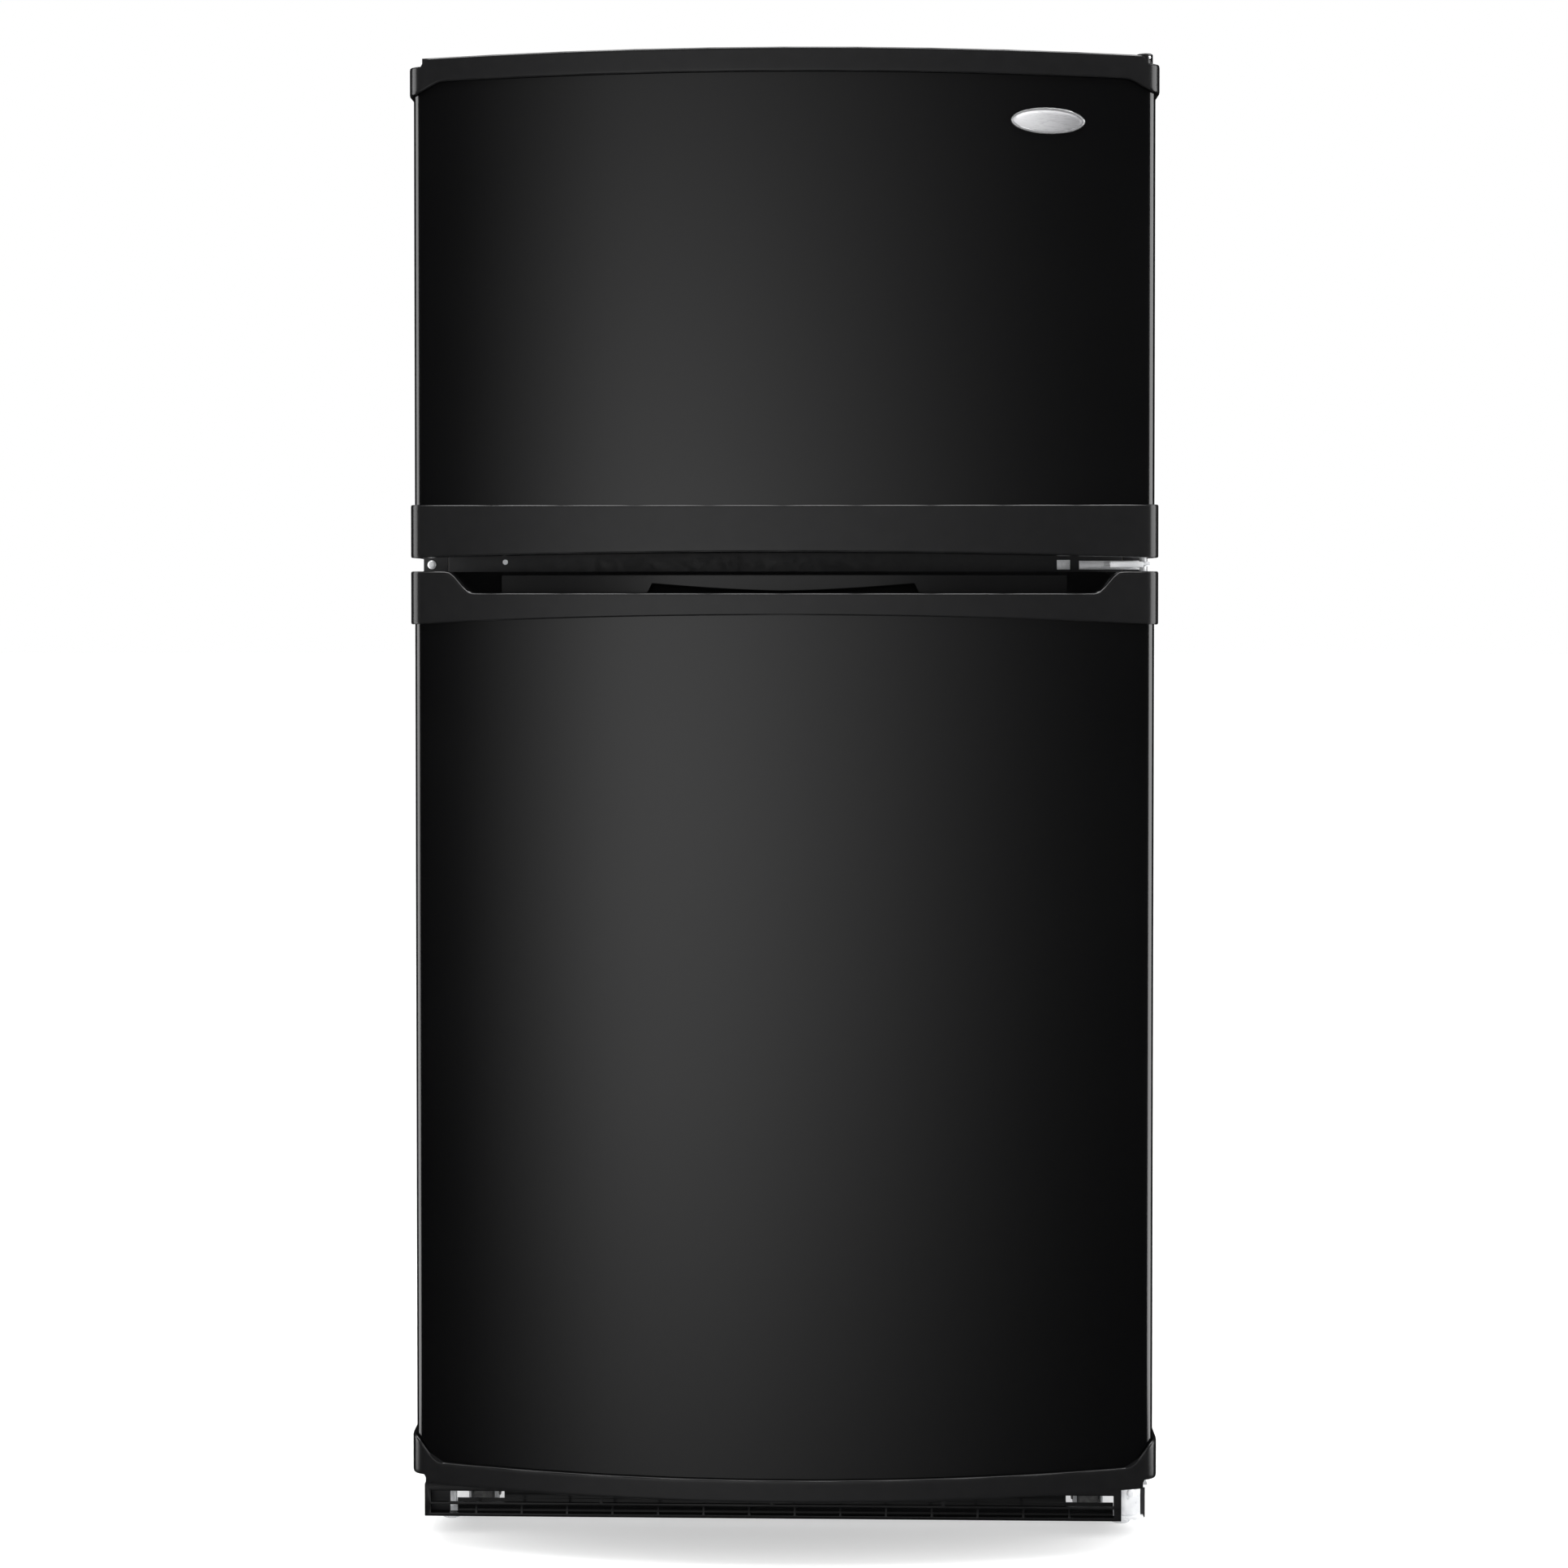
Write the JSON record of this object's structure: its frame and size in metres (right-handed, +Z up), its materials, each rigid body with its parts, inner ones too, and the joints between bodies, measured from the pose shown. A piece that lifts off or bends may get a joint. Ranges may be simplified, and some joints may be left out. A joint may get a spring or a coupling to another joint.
{
  "type": "top freezer refrigerator",
  "caption": "Upright refrigerator with a freezer compartment above a fresh food compartment, bowed doors hinged on the right, recessed handles.",
  "frame": {"origin": "middle of the overall box on the floor", "axes": "+Z up, +X to the right seen from the front, -Y towards the user"},
  "size_m": [0.832, 0.816, 1.673],
  "materials": {
    "black_gloss_steel": "gloss",
    "black_trim_plastic": "satin",
    "black_cabinet_steel": "satin",
    "zinc_plated_steel": "satin",
    "chrome": "polished",
    "white_plastic": "satin",
    "clear_plastic": "gloss",
    "glass_shelf": "gloss",
    "grey_plastic": "satin",
    "gasket_rubber": "matte",
    "rigid_foam": "matte",
    "aluminium": "satin"
  },
  "bodies": {
    "cabinet": {"outer_wrapper": "black_cabinet_steel", "back_panel": "black_cabinet_steel", "cabinet_foam": "rigid_foam", "freezer_liner": "white_plastic", "fresh_food_liner": "white_plastic", "mullion_rail": "black_cabinet_steel", "base_grille": "black_trim_plastic", "base_deck": "zinc_plated_steel", "top_hinge": "zinc_plated_steel", "top_hinge_cover": "black_trim_plastic", "center_hinge": "zinc_plated_steel", "bottom_hinge": "zinc_plated_steel", "machine_cover": "black_cabinet_steel", "cord_gland": "black_trim_plastic", "compressor": "black_cabinet_steel", "condenser_coil": "black_cabinet_steel", "condenser_fan_motor": "black_cabinet_steel", "drain_pan": "black_trim_plastic", "evaporator_cover": "white_plastic", "evaporator": "aluminium", "evaporator_fan_motor": "black_cabinet_steel", "freezer_shelf": "white_plastic", "shelf_upper": "glass_shelf", "shelf_lower": "glass_shelf", "crisper_cover": "glass_shelf", "control_housing": "white_plastic", "light_lens": "clear_plastic"},
    "freezer_door": {"freezer_door_skin": "black_gloss_steel", "freezer_handle_trim": "black_trim_plastic", "freezer_top_cap": "black_trim_plastic", "freezer_door_foam": "rigid_foam", "freezer_door_liner": "white_plastic", "freezer_door_gasket": "gasket_rubber", "freezer_door_bin": "clear_plastic", "badge": "chrome"},
    "fridge_door": {"fridge_door_skin": "black_gloss_steel", "fridge_handle_cap": "black_trim_plastic", "fridge_foot_cap": "black_trim_plastic", "fridge_door_foam": "rigid_foam", "fridge_door_liner": "white_plastic", "fridge_door_gasket": "gasket_rubber", "gallon_bin": "clear_plastic", "middle_bin": "clear_plastic", "dairy_box": "clear_plastic"},
    "dairy_lid": {"dairy_lid": "clear_plastic"},
    "crisper_left": {"crisper_left": "clear_plastic"},
    "crisper_right": {"crisper_right": "clear_plastic"},
    "humidity_slide_left": {"humidity_slide_left": "grey_plastic"},
    "humidity_slide_right": {"humidity_slide_right": "grey_plastic"},
    "fresh_food_dial": {"fresh_food_dial": "grey_plastic"},
    "freezer_dial": {"freezer_dial": "grey_plastic"},
    "light_switch": {"light_switch": "white_plastic"},
    "condenser_fan": {"condenser_fan_blade": "grey_plastic"},
    "evaporator_fan": {"evaporator_fan_blade": "grey_plastic"},
    "front_roller_left": {"front_roller_left": "grey_plastic"},
    "front_roller_right": {"front_roller_right": "grey_plastic"},
    "rear_roller_left": {"rear_roller_left": "grey_plastic"},
    "rear_roller_right": {"rear_roller_right": "grey_plastic"},
    "leveling_foot_left": {"leveling_foot_left": "zinc_plated_steel"},
    "leveling_foot_right": {"leveling_foot_right": "zinc_plated_steel"}
  },
  "joints": [
    {"name": "freezer_door_hinge", "type": "hinge", "parent": "cabinet", "child": "freezer_door", "pos_m": [0.401, -0.338, 1.4], "axis": [0, 0, 1], "range_deg": [0, 135]},
    {"name": "fridge_door_hinge", "type": "hinge", "parent": "cabinet", "child": "fridge_door", "pos_m": [0.401, -0.338, 0.6], "axis": [0, 0, 1], "range_deg": [0, 135]},
    {"name": "dairy_lid_hinge", "type": "hinge", "parent": "fridge_door", "child": "dairy_lid", "pos_m": [0, -0.193, 0.985], "axis": [1, 0, 0], "range_deg": [0, 85]},
    {"name": "crisper_left_slide", "type": "slide", "parent": "cabinet", "child": "crisper_left", "axis": [0, -1, 0], "range_m": [0, 0.24]},
    {"name": "crisper_right_slide", "type": "slide", "parent": "cabinet", "child": "crisper_right", "axis": [0, -1, 0], "range_m": [0, 0.24]},
    {"name": "humidity_left_slide", "type": "slide", "parent": "cabinet", "child": "humidity_slide_left", "axis": [1, 0, 0], "range_m": [-0.02, 0.02]},
    {"name": "humidity_right_slide", "type": "slide", "parent": "cabinet", "child": "humidity_slide_right", "axis": [1, 0, 0], "range_m": [-0.02, 0.02]},
    {"name": "fresh_food_dial_turn", "type": "hinge", "parent": "cabinet", "child": "fresh_food_dial", "pos_m": [-0.085, -0.153, 1.0365], "axis": [0, -1, 0], "range_deg": [-135, 135]},
    {"name": "freezer_dial_turn", "type": "hinge", "parent": "cabinet", "child": "freezer_dial", "pos_m": [0.085, -0.153, 1.0365], "axis": [0, -1, 0], "range_deg": [-135, 135]},
    {"name": "light_switch_travel", "type": "slide", "parent": "cabinet", "child": "light_switch", "axis": [0, -1, 0], "range_m": [0, 0.008]},
    {"name": "condenser_fan_turn", "type": "hinge", "parent": "cabinet", "child": "condenser_fan", "pos_m": [-0.062, 0.3065, 0.158], "axis": [1, 0, 0], "continuous": true},
    {"name": "evaporator_fan_turn", "type": "hinge", "parent": "cabinet", "child": "evaporator_fan", "pos_m": [0, 0.29, 1.4765], "axis": [0, 1, 0], "continuous": true},
    {"name": "front_roller_left_turn", "type": "hinge", "parent": "cabinet", "child": "front_roller_left", "pos_m": [-0.352, -0.248, 0.0195], "axis": [1, 0, 0], "continuous": true},
    {"name": "rear_roller_left_turn", "type": "hinge", "parent": "cabinet", "child": "rear_roller_left", "pos_m": [-0.352, 0.35, 0.018], "axis": [1, 0, 0], "continuous": true},
    {"name": "front_roller_right_turn", "type": "hinge", "parent": "cabinet", "child": "front_roller_right", "pos_m": [0.352, -0.248, 0.0195], "axis": [1, 0, 0], "continuous": true},
    {"name": "rear_roller_right_turn", "type": "hinge", "parent": "cabinet", "child": "rear_roller_right", "pos_m": [0.352, 0.35, 0.018], "axis": [1, 0, 0], "continuous": true},
    {"name": "leveling_foot_left_turn", "type": "hinge", "parent": "cabinet", "child": "leveling_foot_left", "pos_m": [-0.388, -0.263, 0.02], "axis": [0, 0, 1], "continuous": true},
    {"name": "leveling_foot_right_turn", "type": "hinge", "parent": "cabinet", "child": "leveling_foot_right", "pos_m": [0.388, -0.263, 0.02], "axis": [0, 0, 1], "continuous": true}
  ],
  "couplings": [
    {"joint": "crisper_left_slide", "follows": "fridge_door_hinge", "m_per_rad": 0.1},
    {"joint": "crisper_right_slide", "follows": "fridge_door_hinge", "m_per_rad": 0.1},
    {"joint": "light_switch_travel", "follows": "fridge_door_hinge", "m_per_rad": 0.0033}
  ]
}
